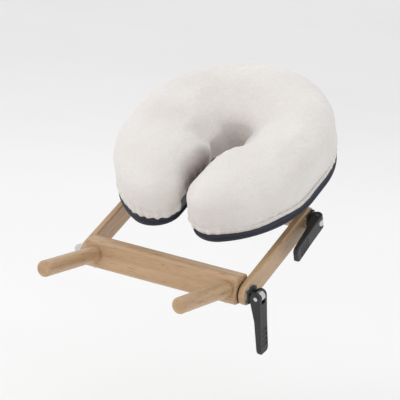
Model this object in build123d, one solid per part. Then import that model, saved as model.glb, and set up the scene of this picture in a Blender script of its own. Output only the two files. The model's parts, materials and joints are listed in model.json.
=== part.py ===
"""Face cradle for a massage table: a crescent cushion in a fleece cover, on a tilting deck and swinging arms.

Millimetres. +X is to the right of someone standing at the table and looking out over the cradle, +Y points
away from the table and +Z is up. The origin lies midway between the two posts, at their axes' height, in the
rail's face towards the table.
"""

import os
from math import cos, radians, sin

from build123d import *

# ---- Driving dimensions ----
THROUGH = 1.0  # how far a cut runs past the faces that it opens

POST_SPACING = 203.0  # the usual 8 inches between a table's two cradle sockets
POST_RADIUS = 11.0
POST_REACH = 130.0  # what stands out of the rail, towards the table
POST_CHAMFER = 2.5
TENON_RADIUS = 9.0  # each post is turned down where it enters the rail
TENON_LENGTH = 13.0
NECK_RADIUS = 10.0  # and a little less just outside it
NECK_LENGTH = 3.0

RAIL_HALF_LENGTH = 116.0
RAIL_DEPTH = 32.0
RAIL_HEIGHT = 40.0
RAIL_EDGE = 8.0
RAIL_END_EDGE = 1.5
POST_PIN_RADIUS = 2.5  # holds each post in the rail
POST_PIN_HEIGHT = 26.0

ROD_RADIUS = 4.0  # M8 tie rods
LIFT_Y = 20.0  # the arms' pivot in the rail
LIFT_Z = -4.0

ARM_LENGTH = 176.0  # pivot to pivot
ARM_ANGLE = 27.0  # above the horizontal, at rest
ARM_WIDTH = 32.0
ARM_THICKNESS = 10.0
ARM_EDGE = 2.5

DECK_TILT = 28.0  # above the horizontal, at rest
PIVOT_ALONG = -10.0  # the deck's pivot, in the deck's own frame
PIVOT_DROP = 38.0
DECK_THICKNESS = 10.0
DECK_EDGE = 2.0
DECK_INSET = 27.0  # the deck is this much smaller than the cushion all round
BLOCK_WIDTH = 28.0
BLOCK_HALF_LENGTH = 20.0
BLOCK_FOOT = 16.0  # radius round the pivot
BLOCK_TOP = 6.0  # height of the part against the deck
SCREW_SPREAD = 11.0
SCREW_RADIUS = 2.2
SCREW_LENGTH = 28.0
SCREW_HEAD_RADIUS = 5.0
SCREW_HEAD_HEIGHT = 3.0

CUSHION_RADIUS = 143.0  # half the cushion's width
CUSHION_STRETCH = 18.0  # half of what its length is more than its width
HOLE_RADIUS = 30.0
HOLE_LOW = 8.0  # centre of the face hole's lower arc, along the deck
HOLE_HIGH = 32.0  # centre of its upper arc
SLOT_WIDTH = 26.0
THROAT_RADIUS = 28.0  # rounds the corner from the face hole into the slot
LOBE_RADIUS = 36.0  # rounds the two chin ends

HOOK_INSET = 6.0  # from the deck's edge
LOOP_INSET = 8.0
CHEEK_LOW = -90.0  # where the tape on the cheeks starts and ends along the deck
CHEEK_HIGH = 26.0
FOREHEAD_LOW = 72.0
FOREHEAD_WIDTH = 130.0
HOOK_THICKNESS = 2.0
LOOP_THICKNESS = 2.0
VINYL = 1.5
SUPPORT_FOAM = 41.5
COMFORT_FOAM = 35.5
CUSHION_CROWN = 28.0  # radius of the cushion's upper edge
BAND_HEIGHT = 50.5  # height of the vinyl side band above the bottom panel
FLEECE = 5.0
HEM_HEIGHT = 13.0  # the cover's hem stands this far above the cushion's underside
SLIT_HEIGHT = 30.0  # and this far in the slot, where the cover is slit
SLIT_LOW = -116.0  # where the slit starts and ends along the deck
SLIT_HIGH = -24.0
NOTCH_MARGIN = 25.0  # the elastic keeps this far from the face hole and the slot
ELASTIC_WIDTH = 6.0
ELASTIC_THICKNESS = 1.8
ELASTIC_RISE = 2.0  # above the hem

# ---- Hardware, along each tie rod ----
DISC_THICKNESS = 1.5
DISC_RADIUS = 15.0
WASHER_THICKNESS = 1.5
WASHER_RADIUS = 12.0
SADDLE_THICKNESS = 3.0
SADDLE_WIDTH = 20.0
SADDLE_CORNER = 4.0
SPACER_RADIUS = 7.0
CAM_RADIUS = 8.0
CAM_THROW = 1.5
CAM_GAP = 0.1
PIN_RADIUS = 3.0
PIN_FIT = 0.02
LEVER_WIDTH = 22.0
LEVER_LENGTH = 80.0
WAIST_ALONG = 33.6
WAIST_RISE = 3.0
WAIST_RADIUS = 4.6
TIP_RISE = 6.5
TIP_RADIUS = 3.6
LEVER_CORNER = 9.0  # rounds the tip, seen on the flat
LEVER_EDGE = 1.6
BEHIND_PIN = 12.0  # clear of the cam, where the cuts across the lever start
PLAN_SPARE = 0.4  # the flat outline ends this far past the tip
EDGE_START = 14.0  # nearer the pin than this the edges stay sharp
SHORTEST_ROUNDED = 4.0
GRIP_GROOVES = 4
GRIP_START = 48.0
GRIP_STEP = 7.0
GROOVE_RADIUS = 3.4
GROOVE_DEPTH = 1.0
GROOVE_WIDTH = 14.0
FORK_GAP = 10.0
FORK_END = 9.0  # how far past the pin the fork's gap goes
EYE_RADIUS = 7.0
EYE_WIDTH = 9.4
NUT_FLATS = 13.0
NUT_HEIGHT = 8.0
DOME_INSET = 0.4
THREAD_SPARE = 0.5  # room left beyond the rod's end
BORE_CLEARANCE = 0.1
BUSH_RADIUS = 6.0
LIFT_LEVER_ANGLE = -75.0  # where each clamped lever points, from +Y towards +Z
TILT_LEVER_ANGLE = ARM_ANGLE + 180.0

# ---- Worked out from the above ----
ARM_INNER = RAIL_HALF_LENGTH + DISC_THICKNESS
ARM_OUTER = ARM_INNER + ARM_THICKNESS
SADDLE_INNER = ARM_OUTER + WASHER_THICKNESS
CAM_X = SADDLE_INNER + SADDLE_THICKNESS + CAM_RADIUS + CAM_THROW + CAM_GAP
NUT_X = -SADDLE_INNER

CUSHION_LOW = HOOK_THICKNESS + LOOP_THICKNESS
FOAM_LOW = CUSHION_LOW + VINYL
FOAM_SPLIT = FOAM_LOW + SUPPORT_FOAM
FOAM_HIGH = FOAM_SPLIT + COMFORT_FOAM
CUSHION_HIGH = FOAM_HIGH + VINYL
BAND_HIGH = FOAM_LOW + BAND_HEIGHT

tilt = radians(DECK_TILT)
swing = radians(ARM_ANGLE)
TILT_Y = LIFT_Y + ARM_LENGTH * cos(swing)
TILT_Z = LIFT_Z + ARM_LENGTH * sin(swing)
DECK_Y = TILT_Y - PIVOT_ALONG * cos(tilt) - PIVOT_DROP * sin(tilt)
DECK_Z = TILT_Z - PIVOT_ALONG * sin(tilt) + PIVOT_DROP * cos(tilt)

LIFT_PIVOT = Location((0, LIFT_Y, LIFT_Z))
TILT_PIVOT = Location((0, TILT_Y, TILT_Z))
ARM_FRAME = Location((0, LIFT_Y, LIFT_Z), (ARM_ANGLE, 0, 0))  # +Y along the arm
DECK_FRAME = Location((0, DECK_Y, DECK_Z), (DECK_TILT, 0, 0))  # +Z out of the deck's top face


# ---- Shared shapes ----
def bar_x(radius, start, end):
    """A round bar along X, from start to end."""
    return Pos(start, 0, 0) * (Rot(0, 90, 0) * extrude(Circle(radius), amount=end - start))


def ring_x(outer, inner, start, end):
    """A tube along X."""
    return bar_x(outer, start, end) - bar_x(inner, start - THROUGH, end + THROUGH)


def both_sides(outer, inner, start, end):
    """The same tube at +X and at -X."""
    return [ring_x(outer, inner, start, end), ring_x(outer, inner, -end, -start)]


def plate_x(outline, start, end):
    """An outline with its X along the model's Y and its Y along the model's Z, from x = start to x = end."""
    side_plane = Plane(origin=(start, 0, 0), x_dir=(0, 1, 0), z_dir=(1, 0, 0))
    return extrude(side_plane * outline, amount=end - start)


def capsule(radius, low, high):
    """Two equal circles on the Y axis and what lies between them."""
    middle = Pos(0, (low + high) / 2) * Rectangle(2 * radius, high - low)
    return Pos(0, low) * Circle(radius) + Pos(0, high) * Circle(radius) + middle


# ---- The crescent that the deck, the foam, the vinyl and the cover share ----
def crescent_outline():
    body = capsule(CUSHION_RADIUS, -CUSHION_STRETCH, CUSHION_STRETCH)
    hole = capsule(HOLE_RADIUS, HOLE_LOW, HOLE_HIGH)
    slot_length = CUSHION_RADIUS + CUSHION_STRETCH + HOLE_LOW
    slot = Pos(0, HOLE_LOW - slot_length / 2 - THROUGH) * Rectangle(SLOT_WIDTH, slot_length + 2 * THROUGH)
    face = body - hole - slot
    edge_x = SLOT_WIDTH / 2
    corners = face.vertices().filter_by(lambda v: abs(abs(v.X) - edge_x) < 0.01).sort_by(Axis.Y)
    face = fillet(corners[2:], THROAT_RADIUS)
    mouth = face.vertices().sort_by(Axis.Y).filter_by(lambda v: abs(abs(v.X) - edge_x) < 0.01)
    return fillet(mouth[:2], LOBE_RADIUS)


CRESCENT = crescent_outline()


def crescent(growth, low, high, crown=0.0):
    """The crescent, grown or shrunk all round, from low to high above the deck, its upper edge rounded."""
    face = offset(CRESCENT, amount=growth) if growth else CRESCENT
    solid = Pos(0, 0, low) * extrude(face, amount=high - low)
    if crown:
        solid = fillet(solid.faces().sort_by(Axis.Z)[-1].edges(), crown)
    return solid


def slab(low, high):
    """Everything between two heights above the deck."""
    return Pos(0, 0, (low + high) / 2) * Box(4 * CUSHION_RADIUS, 4 * CUSHION_RADIUS, high - low)


# ---- Base: rail, posts and the arms' clamp ----
def base_rail():
    rail = Pos(0, RAIL_DEPTH / 2, 0) * Box(2 * RAIL_HALF_LENGTH, RAIL_DEPTH, RAIL_HEIGHT)
    rail = fillet(rail.edges().filter_by(Axis.X), RAIL_EDGE)
    rail = fillet(rail.faces().filter_by(Axis.X).edges(), RAIL_END_EDGE)
    cut = RAIL_HALF_LENGTH + THROUGH
    rail -= LIFT_PIVOT * bar_x(ROD_RADIUS + 3 * BORE_CLEARANCE, -cut, cut)
    for post in (post_body(side) for side in (-1, 1)):
        rail -= post
    for pin in post_pins():
        rail -= pin
    return rail


def post_body(side):
    """Built standing on its tenon, then laid down to point at the table."""
    shaft_length = POST_REACH - NECK_LENGTH
    shaft = Cylinder(POST_RADIUS, shaft_length, align=(Align.CENTER, Align.CENTER, Align.MIN))
    shaft = chamfer(shaft.faces().sort_by(Axis.Z)[-1].edges(), POST_CHAMFER)
    neck = Pos(0, 0, -NECK_LENGTH / 2) * Cylinder(NECK_RADIUS, NECK_LENGTH)
    tenon = Pos(0, 0, -NECK_LENGTH - TENON_LENGTH / 2) * Cylinder(TENON_RADIUS, TENON_LENGTH)
    return Pos(side * POST_SPACING / 2, -NECK_LENGTH, 0) * (Rot(90, 0, 0) * (shaft + neck + tenon))


def post(side):
    body = post_body(side)
    for pin in post_pins():
        body -= pin
    return body


def post_pins():
    """A steel pin up through the rail into each post."""
    middle = (POST_PIN_HEIGHT - RAIL_HEIGHT) / 2
    pin = Cylinder(POST_PIN_RADIUS, POST_PIN_HEIGHT)
    return [Pos(side * POST_SPACING / 2, TENON_LENGTH / 2, middle) * pin for side in (-1, 1)]


# ---- The clamp that the two pivots share ----
def tie_rod(pivot, lever_angle):
    """A rod with a cap nut's thread at -X and a flat eye for the lever's pin at +X."""
    rod = bar_x(ROD_RADIUS, NUT_X - NUT_HEIGHT, CAM_X - EYE_RADIUS / 2)
    eye = Pos(CAM_X, 0, 0) * (Rot(lever_angle, 0, 0) * Cylinder(EYE_RADIUS, EYE_WIDTH))
    hole = Pos(CAM_X, 0, 0) * (Rot(lever_angle, 0, 0) * Cylinder(PIN_RADIUS + BORE_CLEARANCE, 2 * EYE_WIDTH))
    return pivot * (rod + eye - hole)


def cap_nut(pivot):
    across_corners = NUT_FLATS / cos(radians(30)) / 2
    hexagon = Pos(NUT_X - NUT_HEIGHT, 0, 0) * (
        Rot(0, 90, 0) * extrude(RegularPolygon(across_corners, 6), amount=NUT_HEIGHT)
    )
    dome = Pos(NUT_X - NUT_HEIGHT, 0, 0) * Sphere(NUT_FLATS / 2 - DOME_INSET)
    thread = bar_x(ROD_RADIUS + BORE_CLEARANCE / 2, NUT_X - NUT_HEIGHT - THREAD_SPARE, NUT_X + THROUGH)
    return pivot * (hexagon + dome - thread)


def steel_washers(pivot):
    inner = ROD_RADIUS + 2 * BORE_CLEARANCE
    return [pivot * w for w in both_sides(WASHER_RADIUS, inner, ARM_OUTER, SADDLE_INNER)]


def cam_saddle(pivot, lever_angle):
    """The flat nylon block that the cam bears on."""
    middle = SADDLE_INNER + SADDLE_THICKNESS / 2
    body = Pos(middle, 0, 0) * Box(SADDLE_THICKNESS, SADDLE_WIDTH, LEVER_WIDTH + 2)
    body = fillet(body.edges().filter_by(Axis.X), SADDLE_CORNER)
    body -= bar_x(ROD_RADIUS + 2 * BORE_CLEARANCE, ARM_OUTER, CAM_X)
    return pivot * (Rot(lever_angle, 0, 0) * body)


def friction_discs(pivot):
    bore = BUSH_RADIUS + 5 * BORE_CLEARANCE
    return [pivot * d for d in both_sides(DISC_RADIUS, bore, RAIL_HALF_LENGTH, ARM_INNER)]


def grip_surface(along):
    """How far the lever's outer face stands off its pin, between the waist and the tip."""
    share = (along - WAIST_ALONG) / (LEVER_LENGTH - WAIST_ALONG)
    waist_face = WAIST_RISE + WAIST_RADIUS
    return waist_face + share * (TIP_RISE + TIP_RADIUS - waist_face)


def clamp_lever(pivot, lever_angle):
    """A moulded cam lever. Drawn with the pin on Z and the grip along +Y."""
    cam = Pos(-CAM_THROW, 0) * Circle(CAM_RADIUS)
    waist = Pos(WAIST_RISE, WAIST_ALONG) * Circle(WAIST_RADIUS)
    tip = Pos(TIP_RISE, LEVER_LENGTH) * Circle(TIP_RADIUS)
    profile = make_hull(cam.edges() + waist.edges()) + make_hull(waist.edges() + tip.edges())
    lever = Pos(0, 0, -LEVER_WIDTH / 2) * extrude(profile, amount=LEVER_WIDTH)
    lever_end = LEVER_LENGTH + TIP_RADIUS
    plan_end = lever_end + PLAN_SPARE
    plan = Pos(0, (plan_end - BEHIND_PIN) / 2) * Rectangle(LEVER_WIDTH, plan_end + BEHIND_PIN)
    plan = fillet(plan.vertices().sort_by(Axis.Y)[-2:], LEVER_CORNER)
    lever &= extrude(Plane.YZ * (Rot(0, 0, -90) * plan), amount=LEVER_LENGTH / 2, both=True)
    rounded = lever.edges().filter_by(lambda e: e.center().Y > EDGE_START and e.length > SHORTEST_ROUNDED)
    lever = fillet(rounded, LEVER_EDGE)
    lever -= Pos(0, (FORK_END - BEHIND_PIN) / 2, 0) * Box(LEVER_LENGTH, FORK_END + BEHIND_PIN, FORK_GAP)
    lever -= Cylinder(PIN_RADIUS + PIN_FIT, 2 * LEVER_WIDTH)
    for groove in range(GRIP_GROOVES):
        along = GRIP_START + GRIP_STEP * groove
        centre = grip_surface(along) + GROOVE_RADIUS - GROOVE_DEPTH
        lever -= Pos(centre, along, 0) * Cylinder(GROOVE_RADIUS, GROOVE_WIDTH)
    return pivot * (Pos(CAM_X, 0, 0) * (Rot(lever_angle, 0, 0) * lever))


def lever_pin(pivot, lever_angle):
    pin = Cylinder(PIN_RADIUS, LEVER_WIDTH - 1)
    return pivot * (Pos(CAM_X, 0, 0) * (Rot(lever_angle, 0, 0) * pin))


# ---- Arms ----
def arm(side):
    outline = Rot(0, 0, -90) * capsule(ARM_WIDTH / 2, 0, ARM_LENGTH)
    body = plate_x(outline, ARM_INNER, ARM_OUTER)
    body = fillet(body.faces().filter_by(Axis.X).edges(), ARM_EDGE)
    cut = (ARM_INNER - THROUGH, ARM_OUTER + THROUGH)
    body -= bar_x(BUSH_RADIUS, *cut)
    body -= Pos(0, ARM_LENGTH, 0) * bar_x(ROD_RADIUS + BORE_CLEARANCE, *cut)
    body = ARM_FRAME * body
    return body if side > 0 else mirror(body, Plane.YZ)


def arm_bushes():
    inner = ROD_RADIUS + BORE_CLEARANCE
    return [LIFT_PIVOT * b for b in both_sides(BUSH_RADIUS, inner, ARM_INNER, ARM_OUTER)]


def spacer_tube():
    reach = RAIL_HALF_LENGTH - BLOCK_WIDTH
    return TILT_PIVOT * ring_x(SPACER_RADIUS, ROD_RADIUS + 3 * BORE_CLEARANCE, -reach, reach)


# ---- Deck ----
def deck_screws_local():
    head = Cone(SCREW_RADIUS, SCREW_HEAD_RADIUS, SCREW_HEAD_HEIGHT)
    shank = Cylinder(SCREW_RADIUS, SCREW_LENGTH)
    screw = Pos(0, 0, -SCREW_HEAD_HEIGHT / 2) * head + Pos(0, 0, -SCREW_LENGTH / 2) * shank
    x = RAIL_HALF_LENGTH - BLOCK_WIDTH / 2
    screws = []
    for side in (-1, 1):
        for step in (-SCREW_SPREAD, SCREW_SPREAD):
            screws.append(Pos(side * x, PIVOT_ALONG + step, 0) * screw)
    return screws


def deck_plate():
    plate = crescent(-DECK_INSET, -DECK_THICKNESS, 0)
    plate = fillet(plate.faces().filter_by(Axis.Z).edges(), DECK_EDGE)
    for screw in deck_screws_local():
        plate -= screw
    return DECK_FRAME * plate


def pivot_block(side):
    foot = Pos(PIVOT_ALONG, -PIVOT_DROP) * Circle(BLOCK_FOOT)
    top = Pos(PIVOT_ALONG, -DECK_THICKNESS - BLOCK_TOP / 2) * Rectangle(2 * BLOCK_HALF_LENGTH, BLOCK_TOP)
    body = plate_x(make_hull(foot.edges() + top.edges()), RAIL_HALF_LENGTH - BLOCK_WIDTH, RAIL_HALF_LENGTH)
    body -= Pos(0, PIVOT_ALONG, -PIVOT_DROP) * bar_x(BUSH_RADIUS, 0, ARM_INNER)
    body = body if side > 0 else mirror(body, Plane.YZ)
    for screw in deck_screws_local():
        body -= screw
    return DECK_FRAME * body


def block_bushes():
    inner = ROD_RADIUS + BORE_CLEARANCE
    block_inner = RAIL_HALF_LENGTH - BLOCK_WIDTH
    return [TILT_PIVOT * b for b in both_sides(BUSH_RADIUS, inner, block_inner, RAIL_HALF_LENGTH)]


def hook_strips():
    """Three patches of hook tape: one on each cheek and one at the forehead."""
    tape = crescent(-DECK_INSET - HOOK_INSET, 0, HOOK_THICKNESS)
    cheek_middle = (CHEEK_LOW + CHEEK_HIGH) / 2
    cheek = Pos(0, cheek_middle, 0) * Box(4 * CUSHION_RADIUS, CHEEK_HIGH - CHEEK_LOW, 4 * HOOK_THICKNESS)
    forehead_middle = FOREHEAD_LOW + CUSHION_RADIUS / 2
    forehead = Pos(0, forehead_middle, 0) * Box(FOREHEAD_WIDTH, CUSHION_RADIUS, 4 * HOOK_THICKNESS)
    patches = (tape & cheek).solids() + (tape & forehead).solids()
    return [DECK_FRAME * patch for patch in patches]


# ---- Cushion ----
def cushion_body():
    return crescent(0, CUSHION_LOW, CUSHION_HIGH, CUSHION_CROWN)


def foam_body():
    return crescent(-VINYL, FOAM_LOW, FOAM_HIGH, CUSHION_CROWN - VINYL)


def notch_zone(low, high):
    """Round the face hole and the slot, where there is no elastic."""
    hole = capsule(HOLE_RADIUS + NOTCH_MARGIN, HOLE_LOW, HOLE_HIGH)
    length = CUSHION_RADIUS + CUSHION_STRETCH + 2 * FLEECE
    slot = Pos(0, HOLE_LOW - length / 2) * Rectangle(SLOT_WIDTH + 2 * NOTCH_MARGIN, length)
    return Pos(0, 0, low) * extrude(hole + slot, amount=high - low)


def slit_zone(low, high):
    """In the slot, where the cover stops further from the cushion's underside."""
    middle = (SLIT_LOW + SLIT_HIGH) / 2
    return Pos(0, middle, (low + high) / 2) * Box(SLOT_WIDTH + 2 * VINYL, SLIT_HIGH - SLIT_LOW, high - low)


def fleece_cover():
    hem = CUSHION_LOW + HEM_HEIGHT
    cover = crescent(FLEECE, hem, CUSHION_HIGH + FLEECE, CUSHION_CROWN + FLEECE)
    cover -= cushion_body()
    cover -= slit_zone(hem - THROUGH, CUSHION_LOW + SLIT_HEIGHT)
    return cover - elastic_band()


def elastic_band():
    """The elastic in the cover's hem: a flat band against the cushion's side."""
    low = CUSHION_LOW + HEM_HEIGHT + ELASTIC_RISE
    high = low + ELASTIC_WIDTH
    band = crescent(ELASTIC_THICKNESS, low, high) - crescent(0, low - THROUGH, high + THROUGH)
    return band - notch_zone(low - THROUGH, high + THROUGH)


def build():
    skin = cushion_body() - foam_body()
    foam = foam_body()
    lift = (LIFT_PIVOT, LIFT_LEVER_ANGLE)
    tilted = (TILT_PIVOT, TILT_LEVER_ANGLE)
    return {
        "base_rail": base_rail(),
        "post_left": post(-1),
        "post_right": post(1),
        "post_pins": post_pins(),
        "lift_tie_rod": tie_rod(*lift),
        "lift_cap_nut": cap_nut(LIFT_PIVOT),
        "lift_washers": steel_washers(LIFT_PIVOT),
        "lift_cam_saddle": cam_saddle(*lift),
        "lift_friction_discs": friction_discs(LIFT_PIVOT),
        "lift_lever": clamp_lever(*lift),
        "lift_lever_pin": lever_pin(*lift),
        "arm_left": arm(-1),
        "arm_right": arm(1),
        "arm_bushes": arm_bushes(),
        "tilt_tie_rod": tie_rod(*tilted),
        "tilt_spacer_tube": spacer_tube(),
        "tilt_cap_nut": cap_nut(TILT_PIVOT),
        "tilt_washers": steel_washers(TILT_PIVOT),
        "tilt_cam_saddle": cam_saddle(*tilted),
        "tilt_friction_discs": friction_discs(TILT_PIVOT),
        "tilt_lever": clamp_lever(*tilted),
        "tilt_lever_pin": lever_pin(*tilted),
        "deck_plate": deck_plate(),
        "pivot_block_left": pivot_block(-1),
        "pivot_block_right": pivot_block(1),
        "block_bushes": block_bushes(),
        "block_screws": [DECK_FRAME * s for s in deck_screws_local()],
        "hook_strips": hook_strips(),
        "loop_pad": DECK_FRAME * crescent(-DECK_INSET - LOOP_INSET, HOOK_THICKNESS, CUSHION_LOW),
        "vinyl_bottom_panel": DECK_FRAME * (skin & slab(CUSHION_LOW - THROUGH, FOAM_LOW)),
        "vinyl_side_band": DECK_FRAME * (skin & slab(FOAM_LOW, BAND_HIGH)),
        "vinyl_top_panel": DECK_FRAME * (skin & slab(BAND_HIGH, CUSHION_HIGH + THROUGH)),
        "support_foam": DECK_FRAME * (foam & slab(FOAM_LOW - THROUGH, FOAM_SPLIT)),
        "comfort_foam": DECK_FRAME * (foam & slab(FOAM_SPLIT, FOAM_HIGH + THROUGH)),
        "fleece_cover": DECK_FRAME * fleece_cover(),
        "hem_elastic": DECK_FRAME * elastic_band(),
    }


def solids_of(shape):
    shapes = shape if isinstance(shape, list) else [shape]
    return [solid for s in shapes for solid in s.solids()]


os.makedirs("parts", exist_ok=True)
for name, shape in build().items():
    solids = solids_of(shape)
    export_step(solids[0] if len(solids) == 1 else Compound(solids), f"parts/{name}.step")
print("lift pivot", LIFT_Y, LIFT_Z, "tilt pivot", round(TILT_Y, 3), round(TILT_Z, 3))
print("deck origin", round(DECK_Y, 3), round(DECK_Z, 3), "cam x", CAM_X)
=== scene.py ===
import json
import math

import bmesh
import bpy
import numpy as np
from mathutils import Matrix, Vector, noise
from mathutils.bvhtree import BVHTree

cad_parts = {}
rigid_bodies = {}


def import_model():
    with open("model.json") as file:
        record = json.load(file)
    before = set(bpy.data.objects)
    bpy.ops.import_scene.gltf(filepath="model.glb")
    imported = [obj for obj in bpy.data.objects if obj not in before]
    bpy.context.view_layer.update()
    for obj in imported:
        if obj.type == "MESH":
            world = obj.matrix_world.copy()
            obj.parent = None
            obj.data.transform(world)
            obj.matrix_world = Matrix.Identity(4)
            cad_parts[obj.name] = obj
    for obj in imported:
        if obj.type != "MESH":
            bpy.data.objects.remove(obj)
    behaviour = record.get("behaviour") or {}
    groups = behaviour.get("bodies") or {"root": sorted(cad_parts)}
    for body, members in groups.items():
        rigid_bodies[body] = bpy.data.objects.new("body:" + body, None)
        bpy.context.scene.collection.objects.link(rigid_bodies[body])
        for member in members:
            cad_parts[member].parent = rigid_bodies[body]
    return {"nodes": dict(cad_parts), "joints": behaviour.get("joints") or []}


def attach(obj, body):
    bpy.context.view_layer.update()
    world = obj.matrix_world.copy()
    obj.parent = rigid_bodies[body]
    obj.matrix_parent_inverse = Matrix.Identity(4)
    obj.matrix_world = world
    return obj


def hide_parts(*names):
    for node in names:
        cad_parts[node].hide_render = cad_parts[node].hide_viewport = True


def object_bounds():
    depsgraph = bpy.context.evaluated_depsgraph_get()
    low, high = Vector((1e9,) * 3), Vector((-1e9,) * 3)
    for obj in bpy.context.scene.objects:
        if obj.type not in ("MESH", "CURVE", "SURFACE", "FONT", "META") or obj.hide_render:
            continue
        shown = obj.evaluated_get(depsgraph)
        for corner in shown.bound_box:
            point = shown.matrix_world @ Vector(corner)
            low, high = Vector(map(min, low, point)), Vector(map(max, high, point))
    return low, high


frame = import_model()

CAD_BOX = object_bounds()

# ---- Driving values, in metres and radians. Heights are above the cushion's underside ----
DECK_TILT = math.radians(28)
PIVOT_ALONG = -0.010
PIVOT_DROP = 0.038
ARM_RISE = math.radians(27)
CUSHION_LOW = 0.004  # the cushion's underside stands this far above the deck
CUSHION_PARTS = ["support_foam", "comfort_foam", "vinyl_bottom_panel", "vinyl_side_band", "vinyl_top_panel"]

# Face hole and slot, in the deck's own frame
HOLE_RADIUS = 0.030
HOLE_LOW = 0.008
HOLE_HIGH = 0.032
SLOT_HALF_WIDTH = 0.013
NO_SLOT = 1.0  # the gap that is given where there is no slot
NOTCH_MARGIN = 0.025  # the elastic keeps this far from the face hole and the slot

# Swelling by cloth simulation
COVER_VOXEL = 0.004
CUSHION_VOXEL = 0.005
SHRINK = 0.0015  # a soft piece starts this much smaller than its solid, because the pressure swells it
COVER_SWELL = 0.004  # no point of the cover moves further than this
CUSHION_SWELL = 0.002
SWELL_PRESSURE = 4.0
SWELL_FRAMES = 20
SEAT_REACH = 0.020  # the lowest part of the vinyl, which is drawn down onto the deck

# Fleece
FLEECE = 0.0025
FLEECE_GAP = 0.0006  # between the fleece and the vinyl
BROAD_LUMPS = 0.0018
BROAD_SIZE = 0.055
MIDDLE_SIZE = 0.024
NAP_LUMPS = 0.0004
NAP_SIZE = 0.006

# The funnel round the face hole, and the softer one along the slot
FUNNEL_DEPTH = 0.020
FUNNEL_REACH = 0.042
SLOT_SINK = 0.009
SLOT_REACH = 0.022
FUNNEL_RISE = (0.030, 0.078)  # heights where the sinking starts and is full

# The loose sleeve of fabric on the upper wall of the face hole
SLEEVE_INSET = 0.013  # how far its foot leans into the hole
SLEEVE_GAP = (0.001, 0.012)
SLEEVE_RISE = (0.004, 0.062)
SLEEVE_START = (-0.002, HOLE_HIGH)  # places along the deck where the lean starts and is full
RIM_GAP = (0.014, 0.034)  # gaps from the hole where the smoothing of its rim fades out
RIM_ROUNDS = 50
HEM_FADE = (0.001, 0.010)  # heights above the hem where the smoothing of the hem fades out
HEM_ROUNDS = 5

# The painted shade in the slot and the face hole, which makes the fleece darker and browner there: where it
# fades out
SLOT_SHADE_GAP = (0.002, 0.015)
SLOT_SHADE_CHIN = (-0.122, -0.082)
SLOT_SHADE_HOLE = (-0.042, 0.004)
SLOT_SHADE_RISE = (0.038, 0.080)
HOLE_SHADE = 0.52
HOLE_SHADE_GAP = (-0.004, 0.012)
HOLE_SHADE_RISE = (0.006, 0.070)

# The cover's hem
HEM_HEIGHT = 0.013
SLIT_HEIGHT = 0.030  # its height where the cover is slit, in the slot
HOLE_HEM = 0.0015  # and its height in the face hole
SLIT_CHIN = (-0.128, -0.100)  # places along the deck where the slit starts and ends
SLIT_HOLE = (-0.034, -0.002)
SLIT_GAP = (0.006, 0.022)
HOLE_HEM_GAP = (0.006, 0.026)
HEM_WANDER = 0.0036
WANDER_SIZE = 0.048
GATHER_PITCH = 0.0135
GATHER_DEPTH = 0.0018
GATHER_REACH = 0.030
GATHER_GAP = (0.010, 0.030)  # gaps from the face hole where the gathers start
DRIFT_SIZE = 0.055
UPRIGHT_SHARE = 0.25  # of a gather's movement up or down
HEM_ROLL = 0.0012
ROLL_HEIGHT, ROLL_WIDTH = 0.004, 0.0035
GROOVE_HEIGHT, GROOVE_WIDTH = 0.0105, 0.0022
ELASTIC_RISE = 0.002
ELASTIC_WIDTH = 0.006
ELASTIC_INNER, ELASTIC_OUTER = 0.0002, 0.0016
ELASTIC_RIPPLE = 0.0003

# Vinyl strip and foam
WELT_RADIUS = 0.0022
WELT_STEPS = 8
STRIP_HEIGHT = 0.014
STRIP_DEPTH = 0.009
STRIP_LEAN = 0.0006
FOAM_SPLIT = 0.047  # height of the joint between the two foams, above the deck
SPLIT_BAND = 0.004
FOAM_INSET = 0.006

# Stage, light and camera
FLOOR_DROP = 0.20
FLOOR_HALF = 8.0
WORLD_STRENGTH = 0.84
LIGHTS = [  # name, place, size, power
    ("key", (-1.3, -1.1, 1.8), 1.6, 14),
    ("fill", (1.6, -1.4, 1.2), 2.0, 3),
    ("back", (-0.4, 1.8, 1.6), 1.6, 4),
]
VIEW_AZIMUTH = math.radians(26.5)
VIEW_ELEVATION = math.radians(12.5)
VIEW_DISTANCE = 3.1
VIEW_LEAN = math.radians(7.8)
LENS = 205  # in millimetres, as is the sensor
SENSOR = 36


def joint(name):
    return next(j for j in frame["joints"] if j["name"] == name)


def deck_matrix():
    """The deck's own frame: origin in its top face, +Y up its slope and +Z out of it."""
    pivot = Vector(joint("tilt")["pos_m"])
    turn = Matrix.Rotation(DECK_TILT, 4, "X")
    return Matrix.Translation(pivot + turn.to_3x3() @ Vector((0, -PIVOT_ALONG, PIVOT_DROP))) @ turn


DECK = deck_matrix()


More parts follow.
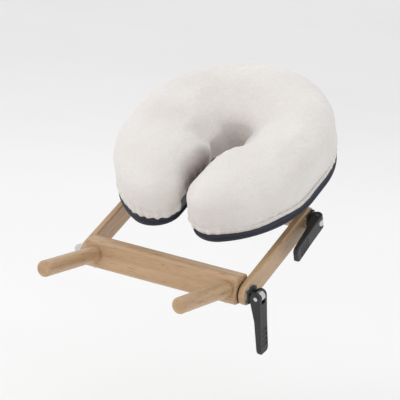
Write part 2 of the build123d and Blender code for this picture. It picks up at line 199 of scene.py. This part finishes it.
# ---- Node materials ----
class Nodes:
    """Short names for building one material's node tree."""

    def __init__(self, name):
        self.material = bpy.data.materials.new(name)
        self.material.use_nodes = True
        self.tree = self.material.node_tree
        self.shader = self.tree.nodes["Principled BSDF"]
        self.coords = self.tree.nodes.new("ShaderNodeTexCoord")

    def link(self, a, b):
        self.tree.links.new(a, b)

    def mapped(self, scale, turn=(0, 0, 0)):
        """The object's own coordinates, turned back by an angle about each axis and then scaled."""
        turned = self.tree.nodes.new("ShaderNodeMapping")
        turned.vector_type = "TEXTURE"
        turned.inputs["Rotation"].default_value = turn
        self.link(self.coords.outputs["Object"], turned.inputs["Vector"])
        stretched = self.tree.nodes.new("ShaderNodeMapping")
        stretched.inputs["Scale"].default_value = scale
        self.link(turned.outputs["Vector"], stretched.inputs["Vector"])
        return stretched.outputs["Vector"]

    def noise(self, vector, scale, detail=3.0, rough=0.5):
        node = self.tree.nodes.new("ShaderNodeTexNoise")
        node.inputs["Scale"].default_value = scale
        node.inputs["Detail"].default_value = detail
        node.inputs["Roughness"].default_value = rough
        self.link(vector, node.inputs["Vector"])
        return node.outputs["Fac"]

    def voronoi(self, vector, scale):
        node = self.tree.nodes.new("ShaderNodeTexVoronoi")
        node.inputs["Scale"].default_value = scale
        self.link(vector, node.inputs["Vector"])
        return node.outputs["Distance"]

    def ramp(self, value, *stops):
        node = self.tree.nodes.new("ShaderNodeValToRGB")
        ends = node.color_ramp.elements
        while len(ends) < len(stops):
            ends.new(0.5)
        for element, (place, colour) in zip(ends, stops):
            element.position = place
            element.color = (*colour, 1)
        self.link(value, node.inputs["Fac"])
        return node.outputs["Color"]

    def mix(self, share, a, b, how="MIX"):
        node = self.tree.nodes.new("ShaderNodeMix")
        node.data_type = "RGBA"
        node.blend_type = how
        if isinstance(share, float):
            node.inputs["Factor"].default_value = share
        else:
            self.link(share, node.inputs["Factor"])
        self.link(a, node.inputs["A"])
        self.link(b, node.inputs["B"])
        return node.outputs["Result"]

    def spread(self, value, low, high):
        node = self.tree.nodes.new("ShaderNodeMapRange")
        node.inputs["To Min"].default_value = low
        node.inputs["To Max"].default_value = high
        self.link(value, node.inputs["Value"])
        return node.outputs["Result"]

    def bump(self, height, depth, strength=1.0, under=None):
        node = self.tree.nodes.new("ShaderNodeBump")
        node.inputs["Distance"].default_value = depth
        node.inputs["Strength"].default_value = strength
        self.link(height, node.inputs["Height"])
        if under is not None:
            self.link(under, node.inputs["Normal"])
        return node.outputs["Normal"]

    def done(self, colour, roughness, normal, **constants):
        self.link(colour, self.shader.inputs["Base Color"])
        if isinstance(roughness, float):
            self.shader.inputs["Roughness"].default_value = roughness
        else:
            self.link(roughness, self.shader.inputs["Roughness"])
        self.link(normal, self.shader.inputs["Normal"])
        for name, value in constants.items():
            self.shader.inputs[name.replace("_", " ")].default_value = value
        return self.material


def fleece_material():
    n = Nodes("cream_fleece")
    plain = n.mapped((1, 1, 1))
    tone = n.noise(plain, 18, detail=4)
    colour = n.ramp(tone, (0.3, (0.745, 0.705, 0.675)), (0.7, (0.800, 0.770, 0.745)))
    pits = n.ramp(n.voronoi(plain, 420), (0.0, (0.88, 0.87, 0.85)), (0.45, (1, 1, 1)))
    # Painted shade: the fleece turns darker and browner deep in the slot and the face hole, from a value
    # stored at each point.
    painted_shade = n.tree.nodes.new("ShaderNodeAttribute")
    painted_shade.attribute_name = "painted_shade"
    shaded = n.ramp(painted_shade.outputs["Fac"], (0.0, (1, 1, 1)), (1.0, (0.27, 0.205, 0.18)))
    curls = n.bump(n.noise(plain, 380, rough=0.65), depth=0.0012, strength=0.8)
    tufts = n.bump(n.noise(plain, 110, rough=0.6), depth=0.0016, strength=0.7, under=curls)
    pile = n.mix(0.7, colour, pits, "MULTIPLY")
    return n.done(n.mix(1.0, pile, shaded, "MULTIPLY"), 0.95, tufts, Sheen_Weight=0.35, Sheen_Roughness=0.6)


def vinyl_material():
    n = Nodes("navy_vinyl")
    plain = n.mapped((1, 1, 1))
    grain = n.voronoi(plain, 900)
    colour = n.ramp(n.noise(plain, 30), (0.3, (0.012, 0.014, 0.028)), (0.7, (0.020, 0.024, 0.044)))
    shine = n.spread(n.noise(plain, 60), 0.38, 0.52)
    return n.done(colour, shine, n.bump(grain, depth=0.0003, strength=0.5))


def foam_material():
    n = Nodes("cushion_foam")
    plain = n.mapped((1, 1, 1))
    colour = n.ramp(n.noise(plain, 40), (0.3, (0.72, 0.64, 0.42)), (0.7, (0.80, 0.73, 0.52)))
    return n.done(colour, 0.95, n.bump(n.voronoi(plain, 700), depth=0.0006))


def webbing_material(name, dark, light):
    n = Nodes(name)
    plain = n.mapped((1, 1, 1))
    rib = n.voronoi(plain, 800)
    colour = n.ramp(rib, (0.1, dark), (0.6, light))
    return n.done(colour, 0.9, n.bump(rib, depth=0.0006))


def wood_material(name, grain_axis, rise, pale, deep, fleck, plies=False):
    """Wood whose grain runs along X, or along Y raised by an angle about X."""
    n = Nodes(name)
    along_x = grain_axis == "X"
    stretch = (5, 90, 90) if along_x else (90, 5, 90)
    fleck_stretch = (60, 700, 700) if along_x else (700, 60, 700)
    angle = (rise, 0, 0)
    grain = n.noise(n.mapped(stretch, angle), 1.0, detail=5, rough=0.6)
    fine = n.noise(n.mapped(fleck_stretch, angle), 1.0, detail=2)
    figure = n.ramp(grain, (0.32, deep), (0.68, pale))
    flecks = n.ramp(fine, (0.30, fleck), (0.42, (1, 1, 1)))
    colour = n.mix(0.8, figure, flecks, "MULTIPLY")
    if plies:
        colour = n.mix(ply_edge_share(n, angle), colour, ply_layers(n, angle, deep, pale))
    shine = n.spread(grain, 0.36, 0.5)
    pores = n.bump(fine, depth=0.0001, strength=0.4)
    return n.done(colour, shine, pores, Coat_Weight=0.25, Coat_Roughness=0.25)


def ply_layers(n, angle, deep, pale):
    """Veneers stacked out of the deck, one layer every 1.4 mm."""
    layers = n.tree.nodes.new("ShaderNodeTexWave")
    layers.wave_type = "BANDS"
    layers.bands_direction = "Z"
    layers.inputs["Scale"].default_value = 112.0
    layers.inputs["Distortion"].default_value = 0.4
    n.link(n.mapped((1, 1, 1), angle), layers.inputs["Vector"])
    darker = tuple(0.55 * c for c in deep)
    return n.ramp(layers.outputs["Fac"], (0.35, darker), (0.6, pale))


def ply_edge_share(n, angle):
    """One on the deck's edges and nothing on its two faces."""
    facing = n.tree.nodes.new("ShaderNodeVectorMath")
    facing.operation = "DOT_PRODUCT"
    facing.inputs[1].default_value = (0, -math.sin(angle[0]), math.cos(angle[0]))
    n.link(n.coords.outputs["Normal"], facing.inputs[0])
    size = n.tree.nodes.new("ShaderNodeMath")
    size.operation = "ABSOLUTE"
    n.link(facing.outputs["Value"], size.inputs[0])
    edge = n.tree.nodes.new("ShaderNodeMath")
    edge.operation = "LESS_THAN"
    edge.inputs[1].default_value = 0.6
    n.link(size.outputs["Value"], edge.inputs[0])
    return edge.outputs["Value"]


def steel_material():
    n = Nodes("zinc_steel")
    streaks = n.noise(n.mapped((30, 900, 900)), 1.0)
    colour = n.ramp(streaks, (0.3, (0.56, 0.56, 0.57)), (0.7, (0.68, 0.68, 0.68)))
    return n.done(colour, n.spread(streaks, 0.24, 0.42), n.bump(streaks, depth=0.00004), Metallic=1.0)


def plastic_material(name, dark, light, low_gloss=0.42):
    n = Nodes(name)
    plain = n.mapped((1, 1, 1))
    texture = n.noise(plain, 1600, detail=2)
    colour = n.ramp(n.noise(plain, 45), (0.3, dark), (0.7, light))
    shine = n.spread(n.noise(plain, 90), low_gloss, low_gloss + 0.14)
    return n.done(colour, shine, n.bump(texture, depth=0.0001, strength=0.5))


BEECH_PALE, BEECH_DEEP, BEECH_FLECK = (0.54, 0.36, 0.205), (0.41, 0.255, 0.135), (0.62, 0.50, 0.42)
BIRCH_PALE, BIRCH_DEEP, BIRCH_FLECK = (0.68, 0.50, 0.30), (0.55, 0.375, 0.20), (0.78, 0.70, 0.62)


def finish_frame():
    """Gives every CAD node that stays its material."""
    beech = (BEECH_PALE, BEECH_DEEP, BEECH_FLECK)
    beech_x = wood_material("beech_rail", "X", 0.0, *beech)
    beech_y = wood_material("beech_posts", "Y", 0.0, *beech)
    beech_arm = wood_material("beech_arms", "Y", ARM_RISE, *beech)
    beech_block = wood_material("beech_blocks", "Y", DECK_TILT, *beech)
    birch = wood_material("birch_plywood", "Y", DECK_TILT, BIRCH_PALE, BIRCH_DEEP, BIRCH_FLECK, plies=True)
    steel = steel_material()
    lever = plastic_material("black_lever", (0.012, 0.012, 0.013), (0.024, 0.024, 0.025))
    nylon = plastic_material("black_nylon", (0.02, 0.02, 0.02), (0.035, 0.035, 0.035), 0.5)
    rubber = plastic_material("friction_rubber", (0.015, 0.015, 0.015), (0.03, 0.03, 0.03), 0.75)
    hooks = webbing_material("black_hook_tape", (0.008, 0.008, 0.008), (0.04, 0.04, 0.04))
    finishes = {
        "base_rail": beech_x, "post_left": beech_y, "post_right": beech_y,
        "arm_left": beech_arm, "arm_right": beech_arm,
        "pivot_block_left": beech_block, "pivot_block_right": beech_block, "deck_plate": birch,
        "lift_lever": lever, "tilt_lever": lever,
        "lift_cam_saddle": nylon, "tilt_cam_saddle": nylon, "arm_bushes": nylon, "block_bushes": nylon,
        "lift_friction_discs": rubber, "tilt_friction_discs": rubber,
        "hook_strips": hooks, "loop_pad": hooks,
    }
    for name, node in frame["nodes"].items():
        for mesh in [o for o in (node, *node.children_recursive) if o.type == "MESH"]:
            mesh.data.materials.clear()
            mesh.data.materials.append(finishes.get(name, steel))


# ---- The crescent's outline, from the panel that has it ----
def outline_loop():
    """The cushion's outline in the deck's frame, as points in order round it."""
    bm = bmesh.new()
    bm.from_mesh(frame["nodes"]["vinyl_bottom_panel"].data)
    bmesh.ops.remove_doubles(bm, verts=bm.verts, dist=1e-6)
    bmesh.ops.transform(bm, matrix=DECK.inverted(), verts=bm.verts)
    bm.normal_update()
    rim = []
    for edge in bm.edges:
        up = sorted(face.normal.z for face in edge.link_faces)
        if len(up) == 2 and up[0] < -0.9 and abs(up[1]) < 0.5:
            rim.append(edge)
    nexts = {}
    for edge in rim:
        for a, b in (edge.verts, reversed(edge.verts)):
            nexts.setdefault(a, []).append(b)
    start = min(nexts, key=lambda v: v.co.y)
    loop, last, here = [start], None, start
    while True:
        step = next(v for v in nexts[here] if v is not last)
        if step is start:
            break
        loop.append(step)
        last, here = here, step
    points = np.array([(v.co.x, v.co.y) for v in loop])
    bm.free()
    return points


OUTLINE = outline_loop()


def outline_place(points):
    """For points in the deck's frame: how far round the outline the nearest point of it is."""
    a = OUTLINE
    b = np.roll(OUTLINE, -1, axis=0)
    step = b - a
    length = (step**2).sum(1)
    reach = np.concatenate([[0], np.cumsum(np.sqrt(length))])
    place = np.empty(len(points))
    for i, p in enumerate(points):
        share = np.clip(((p - a) * step).sum(1) / length, 0, 1)
        near = a + share[:, None] * step
        gaps = ((near - p) ** 2).sum(1)
        k = gaps.argmin()
        place[i] = reach[k] + share[k] * math.sqrt(length[k])
    return place


# ---- Soft pieces ----
def joined_mesh(name, nodes):
    """One mesh of several CAD nodes, in the deck's frame."""
    bm = bmesh.new()
    for node in nodes:
        bm.from_mesh(frame["nodes"][node].data)
    bmesh.ops.transform(bm, matrix=DECK.inverted(), verts=bm.verts)
    mesh = bpy.data.meshes.new(name)
    bm.to_mesh(mesh)
    bm.free()
    piece = bpy.data.objects.new(name, mesh)
    bpy.context.scene.collection.objects.link(piece)
    return piece


def apply_modifiers(piece):
    bpy.context.view_layer.update()
    shown = piece.evaluated_get(bpy.context.evaluated_depsgraph_get())
    mesh = bpy.data.meshes.new_from_object(shown)
    piece.modifiers.clear()
    piece.data = mesh


def keep_outer_shell(piece):
    """Drops the shells that the remesh leaves inside the outermost one."""
    bm = bmesh.new()
    bm.from_mesh(piece.data)
    left = set(bm.verts)
    shells = []
    while left:
        stack, shell = [next(iter(left))], set()
        while stack:
            vert = stack.pop()
            if vert in shell:
                continue
            shell.add(vert)
            stack.extend(e.other_vert(vert) for e in vert.link_edges if e.other_vert(vert) not in shell)
        shells.append(shell)
        left -= shell
    outer = max(shells, key=lambda s: max(v.co.x for v in s) - min(v.co.x for v in s))
    bmesh.ops.delete(bm, geom=[v for v in bm.verts if v not in outer], context="VERTS")
    bm.to_mesh(piece.data)
    bm.free()


def remesh(piece, size):
    solid = piece.modifiers.new("solid", "REMESH")
    solid.mode = "VOXEL"
    solid.voxel_size = size
    apply_modifiers(piece)
    keep_outer_shell(piece)


def coordinates(piece):
    flat = np.empty(3 * len(piece.data.vertices))
    piece.data.vertices.foreach_get("co", flat)
    return flat.reshape(-1, 3)


def set_coordinates(piece, points):
    piece.data.vertices.foreach_set("co", points.ravel())
    piece.data.update()


def normals(piece):
    return np.array([v.normal for v in piece.data.vertices])


def inflate(piece, cap):
    """Shrinks the piece, lets cloth pressure swell it, and caps how far any point moves."""
    set_coordinates(piece, coordinates(piece) - SHRINK * normals(piece))
    before = coordinates(piece)
    cloth = piece.modifiers.new("swell", "CLOTH").settings
    cloth.use_pressure = True
    cloth.uniform_pressure_force = SWELL_PRESSURE
    cloth.effector_weights.gravity = 0
    scene = bpy.context.scene
    for step in range(1, SWELL_FRAMES + 1):
        scene.frame_set(step)
    apply_modifiers(piece)
    scene.frame_set(1)
    move = coordinates(piece) - before
    far = np.linalg.norm(move, axis=1, keepdims=True)
    set_coordinates(piece, before + move * np.minimum(1, cap / np.maximum(far, 1e-9)))


def lump(points, size, seed):
    """Smooth noise from -1 to 1, a lump every size metres."""
    shift = Vector((seed, 2.3 * seed, 5.1 * seed))
    return np.array([noise.noise(Vector(p) / size + shift) for p in points])


def seat(piece):
    """Draws the lowest part down until the underside lies where the CAD cushion's does."""
    points = coordinates(piece)
    start = points[:, 2].min()
    share = (points[:, 2] - start) / SEAT_REACH
    stretched = CUSHION_LOW + share * (start + SEAT_REACH - CUSHION_LOW)
    points[:, 2] = np.where(share < 1, stretched, points[:, 2])
    set_coordinates(piece, points)


def hole_gap(points):
    """How far each point lies outside the face hole, seen along the deck's normal."""
    beyond = points[:, 1] - np.clip(points[:, 1], HOLE_LOW, HOLE_HIGH)
    return np.hypot(points[:, 0], beyond) - HOLE_RADIUS


def slot_gap(points):
    """How far each point lies to the side of the slot, or a large gap where there is no slot."""
    return np.where(points[:, 1] < HOLE_LOW, np.abs(points[:, 0]) - SLOT_HALF_WIDTH, NO_SLOT)


def above_underside(points):
    return points[:, 2] - CUSHION_LOW


def smooth_step(value, low, high):
    """Nothing below low, one above high, and a smooth rise between them."""
    share = np.clip((value - low) / (high - low), 0, 1)
    return share * share * (3 - 2 * share)


def sink_funnel(piece):
    """Lets the top fall away softly towards the face hole, and less so towards the slot."""
    points = coordinates(piece)
    to_hole = np.maximum(hole_gap(points), 0) / FUNNEL_REACH
    to_slot = np.maximum(slot_gap(points), 0) / SLOT_REACH
    sink = np.hypot(FUNNEL_DEPTH * np.exp(-(to_hole**2)), SLOT_SINK * np.exp(-(to_slot**2)))
    points[:, 2] -= smooth_step(above_underside(points), *FUNNEL_RISE) * sink
    set_coordinates(piece, points)


def lean_sleeve(piece):
    """Leans the cover's upper wall in the face hole inwards towards its foot, as loose fabric hangs."""
    points = coordinates(piece)
    beyond = points[:, 1] - np.clip(points[:, 1], HOLE_LOW, HOLE_HIGH)
    radius = np.maximum(np.hypot(points[:, 0], beyond), 1e-6)
    share = 1 - smooth_step(hole_gap(points), *SLEEVE_GAP)
    share *= 1 - smooth_step(above_underside(points), *SLEEVE_RISE)
    share *= smooth_step(points[:, 1], *SLEEVE_START)
    points[:, 0] -= SLEEVE_INSET * share * points[:, 0] / radius
    points[:, 1] -= SLEEVE_INSET * share * beyond / radius
    set_coordinates(piece, points)


def soften(piece, weights, rounds):
    """Smooths the piece where the weights say, from 0 to 1 at each point."""
    group = piece.vertex_groups.new(name="soft")
    for i in np.where(weights > 0.01)[0]:
        group.add([int(i)], float(weights[i]), "REPLACE")
    soft = piece.modifiers.new("soft", "SMOOTH")
    soft.factor = 0.5
    soft.iterations = rounds
    soft.vertex_group = group.name
    apply_modifiers(piece)
    piece.vertex_groups.clear()


def soften_rim_and_hem(piece):
    """Takes the creases out of the face hole's rim, and the jagged points out of the hem."""
    points = coordinates(piece)
    soften(piece, 1 - smooth_step(hole_gap(points), *RIM_GAP), RIM_ROUNDS)
    points = coordinates(piece)
    soften(piece, 1 - smooth_step(points[:, 2] - hem_line(points), *HEM_FADE), HEM_ROUNDS)


def paint_hollow_shade(piece):
    """Stores how deep each point lies in the slot or the face hole, for painted shade that makes the fleece
    darker there.
    """
    points = coordinates(piece)
    in_slot = 1 - smooth_step(slot_gap(points), *SLOT_SHADE_GAP)
    in_slot *= smooth_step(points[:, 1], *SLOT_SHADE_CHIN)
    in_slot *= 1 - smooth_step(points[:, 1], *SLOT_SHADE_HOLE)
    in_slot *= 1 - smooth_step(above_underside(points), *SLOT_SHADE_RISE)
    in_hole = 1 - smooth_step(hole_gap(points), *HOLE_SHADE_GAP)
    in_hole *= HOLE_SHADE * (1 - smooth_step(above_underside(points), *HOLE_SHADE_RISE))
    painted_shade = piece.data.attributes.new("painted_shade", "FLOAT", "POINT")
    painted_shade.data.foreach_set("value", np.maximum(in_slot, in_hole))


def hem_line(points):
    """The cover's lower edge above the deck at each point: higher in the slot and lower in the hole."""
    along = smooth_step(points[:, 1], *SLIT_CHIN) * (1 - smooth_step(points[:, 1], *SLIT_HOLE))
    slit = along * (1 - smooth_step(slot_gap(points), *SLIT_GAP))
    hole = 1 - smooth_step(hole_gap(points), *HOLE_HEM_GAP)
    flat = np.column_stack([points[:, :2], np.zeros(len(points))])
    wander = HEM_WANDER * lump(flat, WANDER_SIZE, 9.0) * (1 - hole)
    rise = (SLIT_HEIGHT - HEM_HEIGHT) * slit * (1 - hole) + (HOLE_HEM - HEM_HEIGHT) * hole
    return CUSHION_LOW + HEM_HEIGHT + rise + wander


def cut_hem(piece):
    """Cuts the cover off cleanly along its hem line."""
    bm = bmesh.new()
    bm.from_mesh(piece.data)
    points = np.array([v.co for v in bm.verts])
    above = points[:, 2] - hem_line(points)
    rise = dict(zip(bm.verts, above))
    line = set()
    for edge in list(bm.edges):
        a, b = edge.verts
        if rise[a] * rise[b] < 0:
            _, vert = bmesh.utils.edge_split(edge, a, rise[a] / (rise[a] - rise[b]))
            rise[vert] = 0.0
            line.add(vert)
    for face in list(bm.faces):
        cut = [v for v in face.verts if v in line]
        if len(cut) == 2:
            bmesh.utils.face_split(face, *cut)
    low = [f for f in bm.faces if sum(rise[v] for v in f.verts) < 0]
    bmesh.ops.delete(bm, geom=low, context="FACES")
    loose = [v for v in bm.verts if not v.link_faces]
    bmesh.ops.delete(bm, geom=loose, context="VERTS")
    bm.to_mesh(piece.data)
    bm.free()


def gather_hem(piece):
    """Gathers the fabric over the elastic: uneven folds that die out upwards, and a roll along the edge."""
    points = coordinates(piece)
    out = normals(piece)
    above = points[:, 2] - hem_line(points)
    near = np.where(above < GATHER_REACH)[0]
    place = outline_place(points[near, :2])
    share = np.clip(above[near] / GATHER_REACH, 0, 1)
    drift = lump(points[near] * (1, 1, 0.2), DRIFT_SIZE, 7.0)
    fold = np.sin(2 * math.pi * place / GATHER_PITCH + 6 * drift)
    finer = np.sin(2 * math.pi * place / (0.63 * GATHER_PITCH) + 9 * drift)
    folds = GATHER_DEPTH * (fold + 0.3 * finer) * (0.75 + 0.6 * drift) * (1 - share) ** 1.4
    folds *= smooth_step(hole_gap(points[near]), *GATHER_GAP)
    roll = HEM_ROLL * np.exp(-(((above[near] - ROLL_HEIGHT) / ROLL_WIDTH) ** 2))
    groove = -0.9 * HEM_ROLL * np.exp(-(((above[near] - GROOVE_HEIGHT) / GROOVE_WIDTH) ** 2))
    sideways = out[near] * (1, 1, UPRIGHT_SHARE)
    points[near] += (folds + roll + groove)[:, None] * sideways
    set_coordinates(piece, points)


def smooth_shade(piece):
    piece.data.polygons.foreach_set("use_smooth", [True] * len(piece.data.polygons))


def settle(piece, material, body, *nodes):
    """Puts a piece built in the deck's frame in its place, with its material, its body and its nodes."""
    piece.data.transform(DECK)
    piece.data.materials.clear()
    piece.data.materials.append(material)
    smooth_shade(piece)
    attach(piece, body)
    if nodes:
        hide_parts(*nodes)


def subdivide(piece):
    piece.modifiers.new("finer", "SUBSURF").levels = 1
    apply_modifiers(piece)


def keep_off(piece, inner, gap):
    """Moves points of the piece outwards until all are at least a gap outside the inner piece."""
    bm = bmesh.new()
    bm.from_mesh(inner.data)
    bmesh.ops.transform(bm, matrix=DECK.inverted(), verts=bm.verts)
    tree = BVHTree.FromBMesh(bm)
    bm.free()
    points = coordinates(piece)
    for i, point in enumerate(points):
        near, out, _, _ = tree.find_nearest(point)
        short = gap - (Vector(point) - near).dot(out)
        if short > 0:
            points[i] += short * np.array(out)
    set_coordinates(piece, points)


def fleece_cover(vinyl):
    """The cover: the cushion's outside, swollen, cut off at the hem, gathered and given its thickness."""
    piece = joined_mesh("fleece_cover_soft", [*CUSHION_PARTS, "fleece_cover", "hem_elastic"])
    remesh(piece, COVER_VOXEL)
    inflate(piece, cap=COVER_SWELL)
    subdivide(piece)
    sink_funnel(piece)
    points = coordinates(piece)
    out = normals(piece)
    broad = lump(points, BROAD_SIZE, 1.0) + 0.5 * lump(points, MIDDLE_SIZE, 2.0)
    nap = lump(points, NAP_SIZE, 3.0)
    points += (BROAD_LUMPS * broad + NAP_LUMPS * nap)[:, None] * out
    set_coordinates(piece, points)
    cut_hem(piece)
    gather_hem(piece)
    lean_sleeve(piece)
    soften_rim_and_hem(piece)
    keep_off(piece, vinyl, FLEECE + FLEECE_GAP)
    shell = piece.modifiers.new("shell", "SOLIDIFY")
    shell.thickness = FLEECE
    shell.offset = -1
    apply_modifiers(piece)
    # Paints shade into the fleece in the slot and the face hole.
    paint_hollow_shade(piece)
    settle(piece, fleece_material(), "deck", "fleece_cover")


def vinyl_cushion(material):
    piece = joined_mesh("vinyl_cushion_soft", CUSHION_PARTS)
    remesh(piece, CUSHION_VOXEL)
    inflate(piece, cap=CUSHION_SWELL)
    seat(piece)
    subdivide(piece)
    sink_funnel(piece)
    settle(piece, material, "deck", "vinyl_bottom_panel", "vinyl_side_band", "vinyl_top_panel")
    return piece


def foam_layer(node, material):
    """One foam block inside the vinyl, which gives way under the face hole's rim as the vinyl does."""
    piece = joined_mesh(f"{node}_soft", [node])
    remesh(piece, CUSHION_VOXEL)
    points = coordinates(piece)
    inward = -FOAM_INSET * normals(piece)
    inward[np.abs(points[:, 2] - FOAM_SPLIT) < SPLIT_BAND, 2] = 0
    set_coordinates(piece, points + inward)
    sink_funnel(piece)
    settle(piece, material, "deck", node)


def offset_outline(depth):
    """Points round the crescent, a set distance inside its outline."""
    ahead = np.roll(OUTLINE, -1, axis=0) - np.roll(OUTLINE, 1, axis=0)
    side = np.stack([-ahead[:, 1], ahead[:, 0]], axis=1)
    side /= np.linalg.norm(side, axis=1, keepdims=True)
    following = np.roll(OUTLINE, -1, axis=0)
    twice_area = (OUTLINE[:, 0] * following[:, 1] - following[:, 0] * OUTLINE[:, 1]).sum()
    return OUTLINE + math.copysign(depth, twice_area) * side


def swept(name, path, section, closed):
    """A solid along a path of (x, y, outward x, outward y, height). Its section is (outward, up) pairs."""
    bm = bmesh.new()
    rings = []
    for x, y, out_x, out_y, height in path:
        ring = [bm.verts.new((x + u * out_x, y + u * out_y, height + v)) for u, v in section]
        rings.append(ring)
    pairs = list(zip(rings, rings[1:] + rings[:1])) if closed else list(zip(rings, rings[1:]))
    for a, b in pairs:
        for i in range(len(section)):
            j = (i + 1) % len(section)
            bm.faces.new((a[i], a[j], b[j], b[i]))
    if not closed:
        bm.faces.new(list(reversed(rings[0])))
        bm.faces.new(rings[-1])
    bmesh.ops.recalc_face_normals(bm, faces=bm.faces)
    mesh = bpy.data.meshes.new(name)
    bm.to_mesh(mesh)
    bm.free()
    piece = bpy.data.objects.new(name, mesh)
    bpy.context.scene.collection.objects.link(piece)
    return piece


def outline_path(depth, height):
    """The outline as a path for swept, with the outward direction at each point."""
    points = offset_outline(depth)
    out = OUTLINE - offset_outline(0.001)
    out /= np.linalg.norm(out, axis=1, keepdims=True)
    return [(x, y, ox, oy, height) for (x, y), (ox, oy) in zip(points, out)]


def bottom_welt(material):
    """The vinyl's lowest strip, with its piping, which squares off the cushion's lower edge."""
    turns = [math.pi * (i / WELT_STEPS - 0.5) for i in range(WELT_STEPS + 1)]
    bead = [(WELT_RADIUS * math.cos(t), WELT_RADIUS * (1 + math.sin(t))) for t in turns]
    wall = [(0.0, 2.1 * WELT_RADIUS), (-STRIP_LEAN, STRIP_HEIGHT), (-STRIP_DEPTH, STRIP_HEIGHT)]
    section = [(-STRIP_DEPTH, 0.0), *bead, *wall]
    piece = swept("vinyl_welt", outline_path(0.6 * WELT_RADIUS, CUSHION_LOW), section, closed=True)
    settle(piece, material, "deck")


def hem_elastic():
    """The gathered elastic: a rippled flat band in the hem, round the outside from chin end to chin end."""
    path = outline_path(0.0, 0.0)
    spots = np.array([(x, y, 0.0) for x, y, *_ in path])
    outside = np.minimum(hole_gap(spots), slot_gap(spots)) > NOTCH_MARGIN
    first = next(i for i in range(len(path)) if outside[i] and not outside[i - 1])
    turned = path[first:] + path[:first]
    kept = turned[: int(outside.sum())]
    low = hem_line(np.array([(x, y, 0.0) for x, y, *_ in kept])) + ELASTIC_RISE
    ripple = [ELASTIC_RIPPLE * math.sin(2.1 * i) for i in range(len(kept))]
    rippled = [(x, y, ox, oy, low[i] + ripple[i]) for i, (x, y, ox, oy, _) in enumerate(kept)]
    foot = [(ELASTIC_INNER, 0), (ELASTIC_OUTER, 0)]
    section = [*foot, (ELASTIC_OUTER, ELASTIC_WIDTH), (ELASTIC_INNER, ELASTIC_WIDTH)]
    piece = swept("hem_elastic_soft", rippled, section, closed=False)
    material = webbing_material("cream_elastic", (0.55, 0.52, 0.48), (0.80, 0.77, 0.73))
    settle(piece, material, "deck", "hem_elastic")


# ---- Stage, light and camera ----
def stage():
    low = CAD_BOX[0][2] - FLOOR_DROP
    mesh = bpy.data.meshes.new("floor")
    half = FLOOR_HALF
    corners = [(-half, -half, low), (half, -half, low), (half, half, low), (-half, half, low)]
    mesh.from_pydata(corners, [], [(0, 1, 2, 3)])
    floor = bpy.data.objects.new("floor", mesh)
    bpy.context.scene.collection.objects.link(floor)
    n = Nodes("pale_floor")
    tone = n.noise(n.mapped((1, 1, 1)), 2.0, detail=2)
    colour = n.ramp(tone, (0.3, (0.93, 0.93, 0.93)), (0.7, (0.95, 0.95, 0.95)))
    mesh.materials.append(n.done(colour, 0.9, n.bump(tone, depth=0.0001)))


def area_light(name, place, aim, size, power):
    data = bpy.data.lights.new(name, "AREA")
    data.size = size
    data.energy = power
    light = bpy.data.objects.new(name, data)
    light.location = place
    light.rotation_euler = (Vector(aim) - Vector(place)).to_track_quat("-Z", "Y").to_euler()
    bpy.context.scene.collection.objects.link(light)


def lights(centre):
    for name, place, size, power in LIGHTS:
        area_light(name, place, centre, size, power)
    world = bpy.data.worlds.new("studio")
    world.use_nodes = True
    sky = world.node_tree.nodes["Background"]
    sky.inputs["Color"].default_value = (1, 1, 1, 1)
    sky.inputs["Strength"].default_value = WORLD_STRENGTH
    bpy.context.scene.world = world
    bpy.context.scene.view_settings.view_transform = "Standard"


def camera(centre):
    """From the table's side, to the right and above, with the picture leaning as in the photograph."""
    level = VIEW_DISTANCE * math.cos(VIEW_ELEVATION)
    rise = VIEW_DISTANCE * math.sin(VIEW_ELEVATION)
    place = centre + Vector((level * math.sin(VIEW_AZIMUTH), -level * math.cos(VIEW_AZIMUTH), rise))
    data = bpy.data.cameras.new("camera")
    data.lens = LENS
    data.sensor_width = SENSOR
    eye = bpy.data.objects.new("camera", data)
    look = (centre - place).to_track_quat("-Z", "Y").to_matrix().to_4x4()
    eye.matrix_world = Matrix.Translation(place) @ look @ Matrix.Rotation(VIEW_LEAN, 4, "Z")
    bpy.context.scene.collection.objects.link(eye)
    bpy.context.scene.camera = eye


finish_frame()
foam = foam_material()
foam_layer("support_foam", foam)
foam_layer("comfort_foam", foam)
navy = vinyl_material()
vinyl = vinyl_cushion(navy)
bottom_welt(navy)
fleece_cover(vinyl)
hem_elastic()
middle = Vector([(a + b) / 2 for a, b in zip(*CAD_BOX)])
stage()
lights(middle)
camera(middle)
